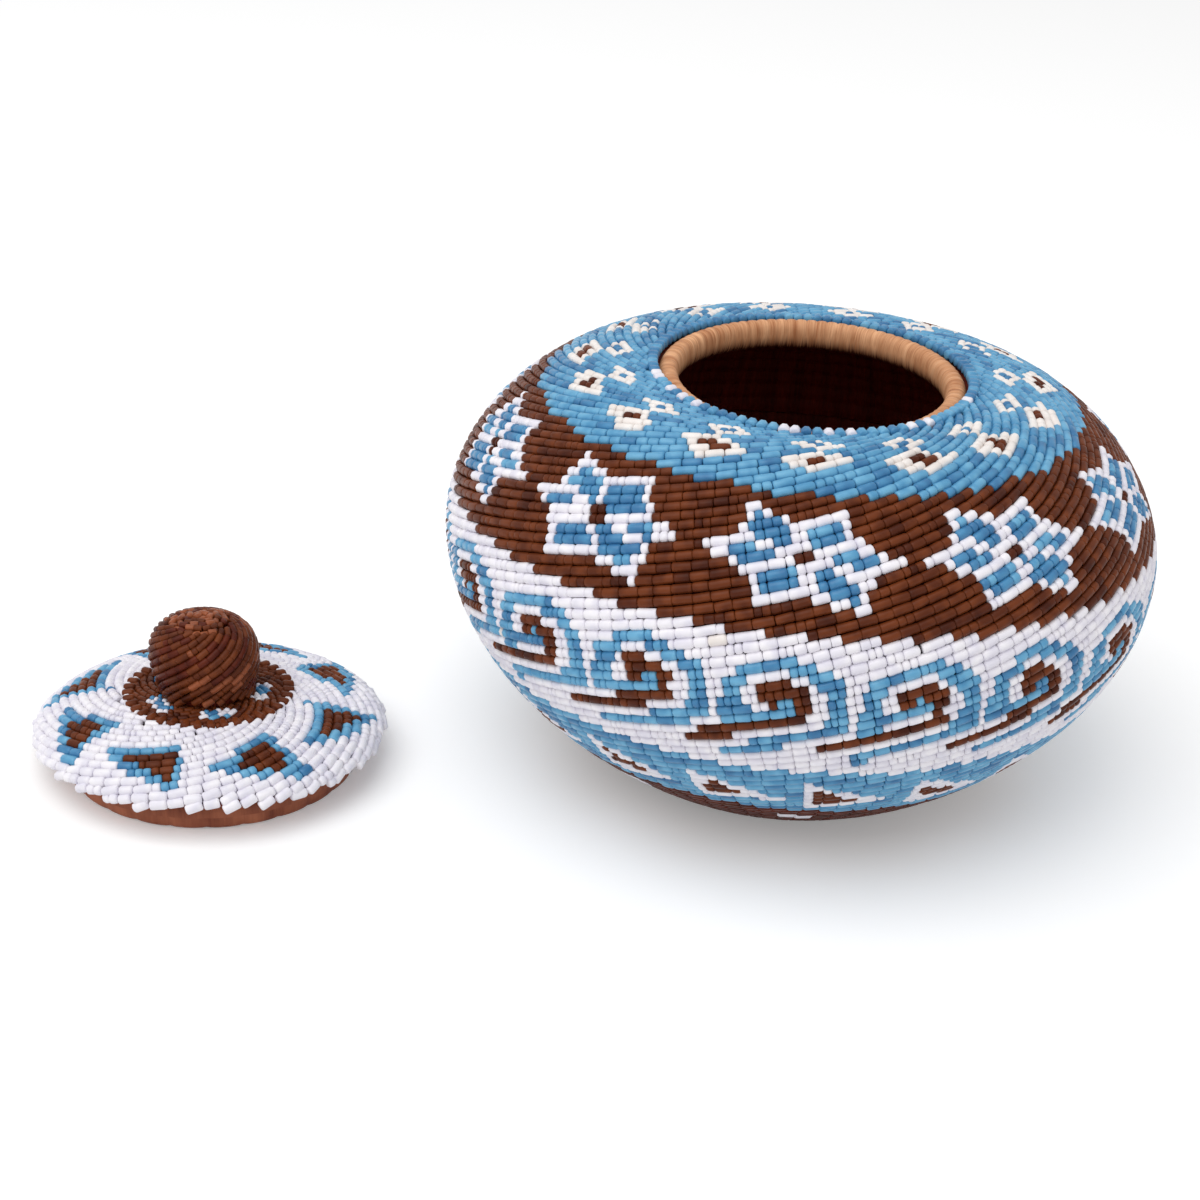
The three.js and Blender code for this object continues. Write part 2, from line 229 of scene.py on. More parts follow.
pot_side = Side(
    np.linspace([mouth_radius, crest_height], [crest_radius, crest_height], crest_steps),
    bezier(
        (crest_radius, crest_height), (crest_radius + crest_pull, crest_height),
        (belly_radius, belly_height + belly_pull_up), (belly_radius, belly_height),
    ),
    bezier(
        (belly_radius, belly_height), (belly_radius, belly_height - belly_pull_down),
        (foot_radius + foot_pull * math.cos(foot_angle), foot_pull * math.sin(foot_angle)),
        (foot_radius, 0),
    ),
)


def build_mesh(name, points, face_sets, materials, shades=None, corner_uv=None):
    """One mesh from arrays: points, and sets of faces that each have the same number of corners."""
    mesh = bpy.data.meshes.new(name)
    corners = np.concatenate([faces.ravel() for faces in face_sets])
    widths = np.concatenate([np.full(len(faces), faces.shape[1]) for faces in face_sets])
    mesh.vertices.add(len(points))
    mesh.vertices.foreach_set("co", points.astype(np.float32).ravel())
    mesh.loops.add(len(corners))
    mesh.loops.foreach_set("vertex_index", corners.astype(np.int32))
    mesh.polygons.add(len(widths))
    mesh.polygons.foreach_set("loop_start", (np.cumsum(widths) - widths).astype(np.int32))
    mesh.polygons.foreach_set("use_smooth", np.ones(len(widths), bool))
    for material in materials:
        mesh.materials.append(material)
    if shades is not None:
        mesh.polygons.foreach_set("material_index", shades.astype(np.int32))
    if corner_uv is not None:
        mesh.uv_layers.new(name="round").data.foreach_set("uv", corner_uv.astype(np.float32).ravel())
    mesh.update(calc_edges=True)
    mesh.validate()
    piece = bpy.data.objects.new(name, mesh)
    bpy.context.scene.collection.objects.link(piece)
    return piece


def turned(name, radius, height, material, poles=False, middle=(0.0, 0.0)):
    """A surface of revolution. radius and height are grids, with rows round the axis and columns
    along the section, up the outside and down the inside. With poles, the section starts and ends
    on the axis; otherwise it closes on itself. The UV is the share round and the share along."""
    turns, steps = radius.shape
    turn = np.arange(turns)[:, None] * 2 * math.pi / turns
    places = [middle[0] + radius * np.sin(turn), middle[1] - radius * np.cos(turn), height + 0 * turn]
    points = np.stack(places, -1).reshape(-1, 3)
    index = np.arange(turns * steps).reshape(turns, steps)
    if poles:
        index[:, 0] = index[0, 0]
        index[:, -1] = index[0, -1]
    spans = steps - 1 if poles else steps
    i, j = np.meshgrid(np.arange(turns), np.arange(spans), indexing="ij")
    next_i, next_j = (i + 1) % turns, (j + 1) % steps
    quads = np.stack([index[i, j], index[next_i, j], index[next_i, next_j], index[i, next_j]], -1)
    share_i, share_j = [i, i + 1, i + 1, i], [j, j, j + 1, j + 1]
    uv = np.stack([np.stack(share_i, -1) / turns, np.stack(share_j, -1) / spans], -1)
    if poles:
        first, last = [0, 2, 3], [0, 1, 2]
        faces = [quads[:, 1:-1].reshape(-1, 4), quads[:, 0][:, first], quads[:, -1][:, last]]
        uvs = [part.reshape(-1, 2) for part in (uv[:, 1:-1], uv[:, 0][:, first], uv[:, -1][:, last])]
        used, compact = np.unique(np.concatenate([f.ravel() for f in faces]), return_inverse=True)
        splits = np.cumsum([f.size for f in faces])[:-1]
        faces = [part.reshape(f.shape) for part, f in zip(np.split(compact.ravel(), splits), faces)]
        points = points[used]
    else:
        faces, uvs = [quads.reshape(-1, 4)], [uv.reshape(-1, 2)]
    return build_mesh(name, points, faces, [material], None, np.concatenate(uvs))


def willow(name, pale, dark, stitch_count, along, roughness, fibre=0.5, stain=None):
    """Split willow wrapped tight over a bundle of rods: a satin skin, whose colour changes from
    stitch to stitch and in fine streaks along each stitch, seven to its width. A painted shade, if
    there is one, darkens the part of the section that lies in shadow: it has a colour and the
    shares along the section between which it fades in. The streaks make its edge ragged, and what
    they add on average is taken off again by the shift."""
    bends_per_stitch = 1.5
    streaks_per_stitch = 7
    shade_ragged = 0.35
    shade_shift = 0.17
    material = bpy.data.materials.new(name)
    tree = empty_tree(material)
    uv = add_node(tree, "UVMap", uv_map="round").outputs[0]
    per_stitch = add_node(
        tree, "Mapping", {"Scale": (stitch_count, bends_per_stitch, 1)}, {"Vector": uv}
    )
    stitch = add_node(
        tree, "TexNoise", {"Scale": 1.0, "Detail": 2.0, "Roughness": 0.6},
        {"Vector": per_stitch.outputs[0]},
    )
    per_streak = add_node(
        tree, "Mapping", {"Scale": (stitch_count * streaks_per_stitch, along, 1)}, {"Vector": uv}
    )
    streak = add_node(
        tree, "TexNoise", {"Scale": 1.0, "Detail": 3.0, "Roughness": 0.65},
        {"Vector": per_streak.outputs[0]},
    ).outputs["Fac"]
    blend = add_node(tree, "Mix", {"Factor": fibre}, {2: stitch.outputs["Fac"], 3: streak})
    spread = add_node(
        tree, "MapRange", {"From Min": 0.34, "From Max": 0.66}, {"Value": blend.outputs[0]}
    )
    colour = add_node(
        tree, "Mix", {6: linear(dark), 7: linear(pale)}, {"Factor": spread.outputs[0]},
        data_type="RGBA",
    )
    # Painted shade: the colour darkens over the part of the section that lies in shadow.
    if stain:
        shade_code, shade_from, shade_full = stain
        place = add_node(tree, "SeparateXYZ", {}, {0: uv})
        ragged = add_node(
            tree, "Math", {1: shade_ragged}, {0: streak, 2: place.outputs[1]},
            operation="MULTIPLY_ADD",
        )
        shaded_share = add_node(
            tree, "MapRange",
            {"From Min": shade_from + shade_shift, "From Max": shade_full + shade_shift},
            {"Value": ragged.outputs[0]},
        )
        colour = add_node(
            tree, "Mix", {7: linear(shade_code)},
            {"Factor": shaded_share.outputs[0], 6: colour.outputs[2]}, data_type="RGBA",
        )
    gloss = add_node(
        tree, "MapRange", {"To Min": roughness - 0.1, "To Max": roughness + 0.1}, {"Value": streak}
    )
    bump = add_node(tree, "Bump", {"Strength": 0.5, "Distance": 0.0002}, {"Height": streak})
    skin = add_node(
        tree, "BsdfPrincipled",
        {"Base Color": linear(pale), "Roughness": roughness, "Specular IOR Level": 0.25},
        {"Base Color": colour.outputs[2], "Roughness": gloss.outputs[0], "Normal": bump.outputs[0]},
    )
    add_node(tree, "OutputMaterial", {}, {"Surface": skin.outputs[0]})
    return material


def dress(piece, body, slot, cad_node, *offsets):
    """A finished piece rides on its body and stands for its CAD node; the slot is not used. First, each
    point of it moves by the offsets, one after the other, worked out from where the point is."""
    for offset in offsets:
        points = np.empty(len(piece.data.vertices) * 3, np.float32)
        piece.data.vertices.foreach_get("co", points)
        points = points.reshape(-1, 3)
        piece.data.vertices.foreach_set("co", (points + offset(points)).ravel())
        piece.data.update()
    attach(piece, body)
    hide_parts(cad_node)


def smooth_share(value, none, full):
    """0 where the value is at none, 1 where it is at full, and 3 s^2 - 2 s^3 between them."""
    share = np.clip((value - none) / (full - none), 0, 1)
    return share * share * (3 - 2 * share)


mouth_reach = (0.040, 0.027)
mouth_heights = (0.050, 0.060)
mouth_pull = 0.0020
mouth_dip = 0.0008
smallest_radius = 1e-6


def mouth_offset(points):
    """The mouth is drawn a little to the front, and down, as on the real basket. The offset is full
    within one radius and fades out at a larger one, and fades with the square of the share
    (1 + cos turn) / 2 towards the back. Only what lies near the top moves."""
    radius = np.maximum(np.hypot(points[:, 0], points[:, 1]), smallest_radius)
    share = smooth_share(radius, *mouth_reach) * ((1 - points[:, 1] / radius) / 2) ** 2
    share = share * smooth_share(points[:, 2], *mouth_heights)
    return share[:, None] * np.array([0, -mouth_pull, -mouth_dip], np.float32)


def coil_groove(arc):
    """How far a coiled surface sinks between its rounds, which climb one pitch a turn: the scallop
    times one less the size of the sine of pi arc over pitch less half the turn."""
    return coil_scallop * (1 - np.abs(np.sin(math.pi * arc / coil_pitch - wall_turn / 2)))


def all_round(*stretches):
    """The stretches of a section one after the other, in a row for each turn of the wall."""
    return np.hstack([np.broadcast_to(s, (wall_sides, s.shape[-1])) for s in stretches])


def coil_wall(name, top, bottom, material):
    """Smooth outside, at one depth. The inside is deeper by the thickness, less the coil groove."""
    outside = np.linspace(bottom, top, smooth_steps)
    inside = np.linspace(top, bottom, coiled_steps)
    outer_radius, outer_height = pot_side.at(outside, wall_depth)
    inner_radius, inner_height = pot_side.at(inside, wall_depth + wall_thickness - coil_groove(inside))
    radius, height = all_round(outer_radius, inner_radius), all_round(outer_height, inner_height)
    return turned(name, radius, height, material)


# Dark reddish brown: painted shade for the shadow inside the pot and in the gaps between the beads.
aged_willow = willow("aged_willow", "#8a2c16", "#4d1409", stitch_count=190, along=26, roughness=0.75)
belly_arc = float(pot_side.arc[pot_side.points[:, 0].argmax()])
upper_wall = coil_wall("upper_basket_wall", wall_joint, belly_arc, aged_willow)
lower_wall = coil_wall(
    "lower_basket_wall", belly_arc + wall_joint, pot_side.length - wall_foot_gap, aged_willow
)
dress(upper_wall, "pot", "willow_dark", "upper_wall_coils", mouth_offset)
dress(lower_wall, "pot", "willow_dark", "lower_wall_coils")

# Basket floor. The same bundle starts in the middle of the floor as a flat snail, each round
# stitched to the last, before it turns up into the wall. The netting hides its flat underside.
floor_low, floor_top = (corner.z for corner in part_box("floor_coil"))
floor_radius = 0.0266
flat_steps = 30
snail_steps = 90


def snail_groove(arc):
    """The groove between the rounds of a snail, which fades flat over its first round."""
    return coil_groove(arc) * np.clip(arc / coil_pitch, 0, 1)


outwards = np.linspace(0, floor_radius, flat_steps)
inwards = np.linspace(floor_radius, 0, snail_steps)
basket_floor = turned(
    "basket_floor", all_round(outwards, inwards),
    all_round(np.full(flat_steps, floor_low), floor_top - snail_groove(inwards)), aged_willow, poles=True,
)
dress(basket_floor, "pot", "willow_dark", "floor_coil")

# Rim coil. The last round of the basket is a thicker bundle, wrapped all over with flat strips of
# peeled willow that lie side by side. Its lower inside is painted dark, a painted shade for the
# shadow there. It is left bare inside the beads and carries the lid.
rim_low, rim_top = (corner.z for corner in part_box("rim_coil"))
rim_half_width = 0.00175
rim_half_height = (rim_top - rim_low) / 2
rim_lap = 0.0001
rim_stitches = 84
rim_groove = 0.00022
rim_lean = 0.030
rim_roundness = 2.5
ring_sides = 28
stitch_steps = 8


def rim_offset(points):
    """The coil is sewn in a little higher at the back than at the front: it rises by a slope."""
    return points[:, 1:2] * np.array([0, 0, rim_lean], np.float32)


def rounded_square(turn, power):
    """How far the edge of a rounded square lies from its middle, where half its width is 1: one
    over the p-th root of the sum of the cosine and the sine, each to the power p."""
    return (np.abs(np.cos(turn)) ** power + np.abs(np.sin(turn)) ** power) ** (-1 / power)


def wrapped_ring(name, radius, height, half_size, roundness, stitches, groove, material, middle=(0.0, 0.0)):
    """A ring with a rounded section, which sinks between the stitches by the groove times one less
    the root of the sine of half the stitch phase."""
    around = np.linspace(0, 2 * math.pi, ring_sides, endpoint=False)
    out = half_size[0] * rounded_square(around, roundness) * np.cos(around)
    up = half_size[1] * rounded_square(around, roundness) * np.sin(around)
    phase = np.arange(stitches * stitch_steps)[:, None] * math.pi / stitch_steps
    sunk = 1 - (groove / np.hypot(out, up)) * (1 - np.sqrt(np.abs(np.sin(phase))))
    return turned(name, radius + out * sunk, height + up * sunk, material, middle=middle)


# The dark colour fading in over the lower inside and underside of the rim coil is painted shade.
peeled_willow = willow(
    "peeled_willow", "#efb78a", "#a8683f", stitch_count=rim_stitches, along=2, roughness=0.6,
    stain=("#4a1f10", 0.50, 0.64),
)
rim = wrapped_ring(
    "wrapped_rim", mouth_radius + rim_lap - rim_half_width, rim_top - rim_half_height,
    (rim_half_width, rim_half_height), rim_roundness, rim_stitches, rim_groove, peeled_willow,
)
dress(rim, "pot", "willow_tan", "rim_coil", rim_offset, mouth_offset)

# Netting of the shoulder. Seed beads of glass are threaded in strands that start at the mouth and
# wind down to the foot, each bead below the last. Here they are sky blue, round fifteen pairs of
# white diamonds with dark middles, and a row of round beads finishes the edge of the mouth.
pot_strands = (66, 0.00173)
bead_width = 0.00169
bead_gap = 0.00005
bead_side_count = 8
bead_roundness = 2.5
bead_end_insets = np.array([0.0, 0.00013, 0.00042])
bead_end_swells = np.array([0.66, 0.91, 1.0])
bead_full_length = 0.0010
ridge_roundness = 2.05
ridge_end_swells = np.array([0.86, 0.96, 1.0])
ridge_share = 0.95
row_overlap = 1.03
width_spread = (0.96, 1.03)
length_spread = (0.96, 1.02)
depth_spread = (0, 0.00008)
bead_tilt = 0.035
loose_depth_spread = (-0.0001, 0.0004)
loose_tilt = 0.14
loose_shortening = 0.20
loose_thinning = 0.12
cut_jog = 0.12
single_bead_share = 0.12
longest_share = 1.4
shortest_share = 0.25
own_draw_share = 0.6
clouds_per_metre = 420.0
shoulder_top = 0.0015
shoulder_bottom = 0.0202
shoulder_turn = math.radians(2.8)
diamond_count = 15
diamonds = ((0.0129, 0.0060, 0.0034, 2), (0.0070, 0.0052, 0.0025, 3))
diamond_heart = 0.42
lip_setback = 0.0010
lip_radius = mouth_radius + lip_setback
lip_height = 0.0702
lip_bead = 0.00172
lip_bead_count = 96
lip_front_from = 0.3


def glass(name, code, deep, roughness, shine):
    """Opaque glass seed bead, fire polished: a clean gloss, slightly uneven, and a colour that is a
    little deeper in some beads than in their neighbours, in clouds one to two beads wide."""
    material = bpy.data.materials.new(name)
    tree = empty_tree(material)
    where = add_node(tree, "TexCoord").outputs["Object"]
    cloud = add_node(
        tree, "TexNoise", {"Scale": clouds_per_metre, "Detail": 1.0}, {"Vector": where}
    ).outputs["Fac"]
    spread = add_node(tree, "MapRange", {"From Min": 0.35, "From Max": 0.65}, {"Value": cloud})
    colour = add_node(
        tree, "Mix", {6: linear(deep), 7: linear(code)}, {"Factor": spread.outputs[0]},
        data_type="RGBA",
    )
    gloss = add_node(
        tree, "MapRange", {"To Min": roughness + 0.12, "To Max": roughness - 0.06}, {"Value": cloud}
    )
    body = add_node(
        tree, "BsdfPrincipled",
        {"Base Color": linear(code), "Roughness": roughness, "Specular IOR Level": shine},
        {"Base Color": colour.outputs[2], "Roughness": gloss.outputs[0]},
    )
    add_node(tree, "OutputMaterial", {}, {"Surface": body.outputs[0]})
    return material


net_glass = [
    glass("sky_blue_glass", "#6dadd1", "#5194be", roughness=0.32, shine=0.35),
    glass("mid_blue_glass", "#4b8cb8", "#3873a2", roughness=0.30, shine=0.35),
    glass("white_glass", "#f4f1f6", "#e4e1ec", roughness=0.38, shine=0.35),
    glass("cream_glass", "#f5efeb", "#eae2dd", roughness=0.38, shine=0.35),
    glass("brown_glass", "#70371a", "#562610", roughness=0.38, shine=0.15),
    glass("umber_glass", "#552510", "#41190a", roughness=0.40, shine=0.15),
    glass("red_brown_glass", "#5e2412", "#461609", roughness=0.38, shine=0.15),
    # A lighter brown, used most on the top of the knob: painted highlight for the light on its crown.
    glass("chestnut_glass", "#9a5433", "#7c3f22", roughness=0.34, shine=0.25),
]
BLUE, TEAL, WHITE, CREAM, BROWN, UMBER, RED_BROWN, CHESTNUT_HIGHLIGHT = range(len(net_glass))
blue_mix = {BLUE: 0.65, TEAL: 0.35}
white_mix = {WHITE: 0.97, CREAM: 0.03}
brown_mix = {BROWN: 0.7, UMBER: 0.3}


def bead_mesh(name, place, along, out, length, width, shade, middle=(0.0, 0.0), ridged=False):
    """All the beads of one piece. A bead is a short tube of six rings: each ring lies at half the
    length less an inset, which shrinks in very short beads, and its section is a rounded square.
    The ends are closed with a flat face each. In a ridged piece the beads are cut square and are
    rounder, so that they run on along a strand and it stands out."""
    across = np.cross(out, along)
    swells, power = (ridge_end_swells, ridge_roundness) if ridged else (bead_end_swells, bead_roundness)
    swell = np.concatenate([swells, swells[::-1]])
    end = length[:, None] / 2 - bead_end_insets * np.minimum(1, length / bead_full_length)[:, None]
    offset = np.concatenate([-end, end[:, ::-1]], 1)
    turn = (np.arange(bead_side_count) + 0.5) * 2 * math.pi / bead_side_count
    section = rounded_square(turn, power) * (ridge_share if ridged else 1)
    reach = width[:, None, None] / 2 * swell[None, :, None] * section
    points = (
        (place + np.array([*middle, 0.0]))[:, None, None]
        + offset[:, :, None, None] * along[:, None, None]
        + (reach * np.cos(turn))[..., None] * across[:, None, None]
        + (reach * np.sin(turn))[..., None] * out[:, None, None]
    )
    rings, sides = len(swell), bead_side_count
    grid = np.arange(rings * sides).reshape(rings, sides)
    ahead = np.roll(grid, -1, axis=1)
    tube = np.stack([grid[:-1], ahead[:-1], ahead[1:], grid[1:]], -1).reshape(-1, 4)
    starts = np.arange(len(place))[:, None, None] * grid.size
    walls = (tube + starts).reshape(-1, 4)
    ends = (np.stack([grid[0][::-1], grid[-1]]) + starts).reshape(-1, sides)
    shades = np.concatenate([np.repeat(shade, len(tube)), np.repeat(shade, 2)])
    return build_mesh(name, points.reshape(-1, 3), [walls, ends], net_glass, shades)


class Band:
    """Bead places of one band of netting. Strand k runs where arc = pitch k - climb turn, where the
    climb is the count of strands times the pitch over two pi. Columns cut the strands into beads,
    and lean a little: a column's place is turn times the band's middle radius, less lean times the
    way down. The first one passes the given turn at the given way below the top. Each cut is jogged
    along its strand. A bead is two short ones where the pattern changes half way along it, and here
    and there by chance."""

    def __init__(self, side, top, bottom, strands, paint, columns, turn, seed, lean=0.0, lean_from=0.0):
        self.side, self.top, self.lean = side, top, lean
        self.count, self.pitch = strands
        self.climb = self.count * self.pitch / (2 * math.pi)
        self.random = np.random.default_rng(seed)
        self.radius = float(side.at((top + bottom) / 2)[0])
        self.first = turn - lean * lean_from / self.radius
        column = 2 * math.pi * self.radius / columns
        spare = self.count // 4
        names = np.arange(-spare, self.count + spare + int(bottom / self.pitch))[:, None]
        jog = self.random.uniform(-cut_jog, cut_jog, (len(names), columns + 1))
        jog[:, [0, -1]] = 0
        cuts = (np.arange(columns + 1) + jog) * column
        middle = ((cuts[:, 1:] + cuts[:, :-1]) / 2).ravel()
        half = ((cuts[:, 1:] - cuts[:, :-1]) / 2).ravel()
        self.name = (names + np.zeros(columns, int)).ravel()
        self.arc = self.arc_of(middle)
        near = (self.arc > top - self.pitch) & (self.arc < bottom + self.pitch)
        self.name, self.arc, middle, half = self.name[near], self.arc[near], middle[near], half[near]
        quarters = (middle - half / 2, middle + half / 2)
        left, right = (paint(place, self.arc_of(place), self.radius) for place in quarters)
        share = 1 / (self.radius + lean * self.climb)
        self.half, self.usual = half * share, column / 2 * share
        self.motif = left
        self.halve((left != right) | (self.random.random(len(middle)) < single_bead_share), right)
        self.keep((self.arc >= top) & (self.arc < bottom))

    def arc_of(self, across):
        """Arc where each strand crosses a column: both lines are solved for the arc."""
        start = self.first + (across - self.lean * self.top) / self.radius
        return (self.pitch * self.name - self.climb * start) / (1 + self.climb * self.lean / self.radius)

    def turns(self):
        """Turn of each bead: pitch k less arc, over climb."""
        return (self.pitch * self.name - self.arc) / self.climb

    def across(self):
        """Place of each bead in the row of columns: what the turn is past the first one times the
        radius, less lean times the way down."""
        return (self.turns() - self.first) * self.radius - self.lean * (self.arc - self.top)

    def keep(self, chosen):
        """Drops all beads but the chosen ones."""
        for key in ("name", "arc", "half", "motif"):
            setattr(self, key, getattr(self, key)[chosen])

    def halve(self, chosen, right_motif):
        """Cuts the chosen beads in two: the left half keeps its motif, the right half gets another."""
        shift = self.climb * self.half[chosen] / 2
        whole = ~chosen
        arc, half = self.arc[chosen], self.half[chosen] / 2
        self.arc = np.concatenate([self.arc[whole], arc + shift, arc - shift])
        self.half = np.concatenate([self.half[whole], half, half])
        self.motif = np.concatenate([self.motif[whole], self.motif[chosen], right_motif[chosen]])
        self.name = np.concatenate([self.name[whole], self.name[chosen], self.name[chosen]])

    def follow(self, above):
        """Starts each strand's first bead where its last one in the band above ends. A bead that
        gets too long by this is cut in two, and one that gets too short is dropped."""
        ends = np.full(self.count, -np.inf)
        np.maximum.at(ends, above.name % self.count, above.arc + above.climb * above.half)
        strand = self.name % self.count
        first = np.full(self.count, np.inf)
        np.minimum.at(first, strand, self.arc)
        leading = self.arc == first[strand]
        end = self.arc[leading] + self.climb * self.half[leading]
        start = ends[strand[leading]]
        self.arc[leading] = (start + end) / 2
        self.half[leading] = (end - start) / 2 / self.climb
        self.halve(self.half > longest_share * self.usual, self.motif)
        self.keep(self.half > shortest_share * self.usual)

    def shades(self, mixes):
        """A shade for each bead. Each motif number has its shades and the share of each. A bead
        draws a number, moved by one that is the strand's own, so that neighbours on a strand are
        alike; the shade is the first whose running share is above it."""
        draw = self.random.random(len(self.arc)) * own_draw_share
        draw = draw + self.random.random(self.count)[self.name % self.count] * (1 - own_draw_share)
        shade = np.zeros(len(self.arc), int)
        for number, mix in enumerate(mixes):
            there = self.motif == number
            steps = np.cumsum(list(mix.values()))
            shade[there] = np.array(list(mix))[np.searchsorted(steps[:-1], draw[there])]
        return shade

    def beads(self, *mixes, loose_from=None):
        """Centres, directions, sizes and shades. A strand's direction is radius to the right and
        climb upwards, so a bead's length is its share of a turn times the hypotenuse of the two.
        Beads are smaller and more crooked the further they lie below the arc where they get
        loose."""
        radius = self.side.at(self.arc)[0]
        loose = np.clip((self.arc - loose_from) / (self.side.length - loose_from), 0, 1) if loose_from else 0
        run = np.hypot(radius, self.climb)
        count, random = len(self.arc), self.random
        width = np.minimum(bead_width, self.pitch * radius / run * row_overlap)
        width = width * random.uniform(*width_spread, count)
        depth = width / 2 + random.uniform(*depth_spread, count)
        depth = depth + random.uniform(*loose_depth_spread, count) * loose
        place, right, down, out = self.side.axes(self.turns(), self.arc, depth)
        along = (right * radius[:, None] - down * self.climb) / run[:, None]
        tilt = random.normal(0, 1, count) * (bead_tilt + loose_tilt * loose)
        along = along + np.cross(out, along) * tilt[:, None]
        along = along / np.linalg.norm(along, axis=1)[:, None]
        length = 2 * self.half * run * random.uniform(*length_spread, count) - bead_gap
        length = length * (1 - loose * random.uniform(0, loose_shortening, count))
        width = width * (1 - loose * random.uniform(0, loose_thinning, count))
        return [place, along, out, length, width, self.shades(mixes)]


def joined(*groups):
    """Several sets of bead arrays as one."""
    return [np.concatenate(parts) for parts in zip(*groups)]


def some(beads, chosen):
    """The chosen beads of a set of bead arrays."""
    return [values[chosen] for values in beads]


def nearest(across, count, radius):
    """Place across from the middle of the nearest of count motifs round the pot."""
    period = 2 * math.pi * radius / count
    return (across + period / 2) % period - period / 2


def paint_shoulder(across, arc, radius):
    """1 in the border of a diamond, 2 or 3 in the middle of a large or small one, 0 elsewhere. A
    place is in a diamond where the shares of its half width and half height add up to under 1."""
    x = nearest(across, diamond_count, radius)
    motif = np.zeros(len(x), int)
    for middle, half_width, half_height, heart in diamonds:
        share = np.abs(x) / half_width + np.abs(arc - middle) / half_height
        motif[share < 1] = 1
        motif[share < diamond_heart] = heart
    return motif


shoulder_band = Band(
    pot_side, shoulder_top, shoulder_bottom, pot_strands, paint_shoulder, columns=90, turn=shoulder_turn,
    seed=15,
)
shoulder_beads = shoulder_band.beads(blue_mix, {CREAM: 1.0}, brown_mix, {TEAL: 1.0})
random = np.random.default_rng(31)
lip_turn = np.arange(lip_bead_count) * 2 * math.pi / lip_bead_count
lip_sine, lip_cosine, lip_zero = np.sin(lip_turn), np.cos(lip_turn), np.zeros(lip_bead_count)
lip_size = np.full(lip_bead_count, lip_bead)
# At the back the lip beads are mostly the darker mid blue, partly a painted shade: the side of them seen
# there lies in shadow. Whites are only at the front.
lip_shades = np.where(
    lip_cosine > lip_front_from,
    random.choice([BLUE, WHITE, TEAL], lip_bead_count, p=[0.5, 0.35, 0.15]),
    random.choice([BLUE, TEAL], lip_bead_count, p=[0.35, 0.65]),
)
lip_beads = [
    np.stack([lip_radius * lip_sine, -lip_radius * lip_cosine, lip_zero + lip_height], -1),
    np.stack([lip_sine, -lip_cosine, lip_zero], -1),
    np.stack([lip_zero, lip_zero, lip_zero + 1], -1),
    lip_size,
    lip_size,
    lip_shades,
]
shoulder_net = bead_mesh("shoulder_netting", *joined(shoulder_beads, lip_beads))
dress(shoulder_net, "pot", "beads_blue", "shoulder_net", mouth_offset)

# Star band of netting. Brown beads over the upper curve of the pot, round ten six-pointed stars.
# The stars are worked in the same strands, in white with blue petals and a brown middle.
star_top = shoulder_bottom
star_bottom = 0.0435
star_count = 10
star_turn = math.radians(1.9)
star_middle = 0.01165
star_half = np.array([
    (-0.0155, 0.0), (-0.0094, -0.0027), (-0.0082, -0.0084), (0.0, -0.0060), (0.0082, -0.0084),
    (0.0094, -0.0027),
])
star_outline = np.concatenate([star_half, -star_half])
star_border = 0.0014
star_spoke = 0.0008
star_heart = (0.0018, 0.0012)
front_pull = 0.0011
front_turn = -0.2


def inside(outline, x, y):
    """True where a ray to the right crosses the outline an odd number of times."""
    p, q = outline, np.roll(outline, -1, axis=0)
    x, y = x[:, None], y[:, None]
    spans = (p[:, 1] > y) != (q[:, 1] > y)
    rise = np.where(q[:, 1] == p[:, 1], 1.0, q[:, 1] - p[:, 1])
    meets = p[:, 0] + (y - p[:, 1]) / rise * (q[:, 0] - p[:, 0])
    return (spans & (meets > x)).sum(1) % 2 == 1


def edge_gap(outline, x, y):
    """Distance from each place to the nearest edge of the outline: the place is dropped on each
    edge, held between its ends, and the shortest of the gaps is taken."""
    p, q = outline, np.roll(outline, -1, axis=0)
    edge = q - p
    place = np.stack([x, y], -1)[:, None]
    share = np.clip(((place - p) * edge).sum(-1) / (edge**2).sum(-1), 0, 1)
    return np.linalg.norm(place - p - share[..., None] * edge, axis=-1).min(1)


def paint_star(across, arc, radius):
    """0 on the ground. In a star: 1 in its border and on the spokes that join its middle to its
    notches, 2 in a petal, 3 in the middle. The pattern sits a little higher at the front, by the
    cube of the share (1 + cos turn) / 2, and 4 fills the edge that this leaves below it."""
    turn = star_turn + across / radius
    arc = arc + front_pull * ((1 + np.cos(turn - front_turn)) / 2) ** 3
    x, y = nearest(across, star_count, radius), arc - star_top - star_middle
    within = inside(star_outline, x, y)
    spokes = [edge_gap(np.array([(0, 0), notch]), x, y) for notch in star_outline[1::2]]
    petal = (edge_gap(star_outline, x, y) > star_border) & (np.min(spokes, axis=0) > star_spoke)
    motif = within.astype(int) + (within & petal)
    motif[(x / star_heart[0]) ** 2 + (y / star_heart[1]) ** 2 < 1] = 3
    motif[arc > star_bottom] = 4
    return motif


star_band = Band(
    pot_side, star_top, star_bottom, pot_strands, paint_star, columns=120, turn=star_turn, seed=14,
    lean=0.24, lean_from=star_middle,
)
star_band.follow(shoulder_band)
star_beads = star_band.beads(brown_mix, white_mix, {BLUE: 0.3, TEAL: 0.7}, {UMBER: 1.0}, white_mix)
ground = np.isin(star_band.motif, (0, 4))
star_net = bead_mesh("star_band_netting", *some(star_beads, ground), ridged=True)
dress(star_net, "pot", "beads_brown", "star_band_net")
star_place = star_band.across() * star_count / (2 * math.pi * star_band.radius)
star_number = np.round(star_place).astype(int) % star_count
for number in range(star_count):
    name = f"{number + 1:02d}"
    star = bead_mesh("bead_star_" + name, *some(star_beads, ~ground & (star_number == number)))
    dress(star, "pot", "beads_white", "star_" + name)

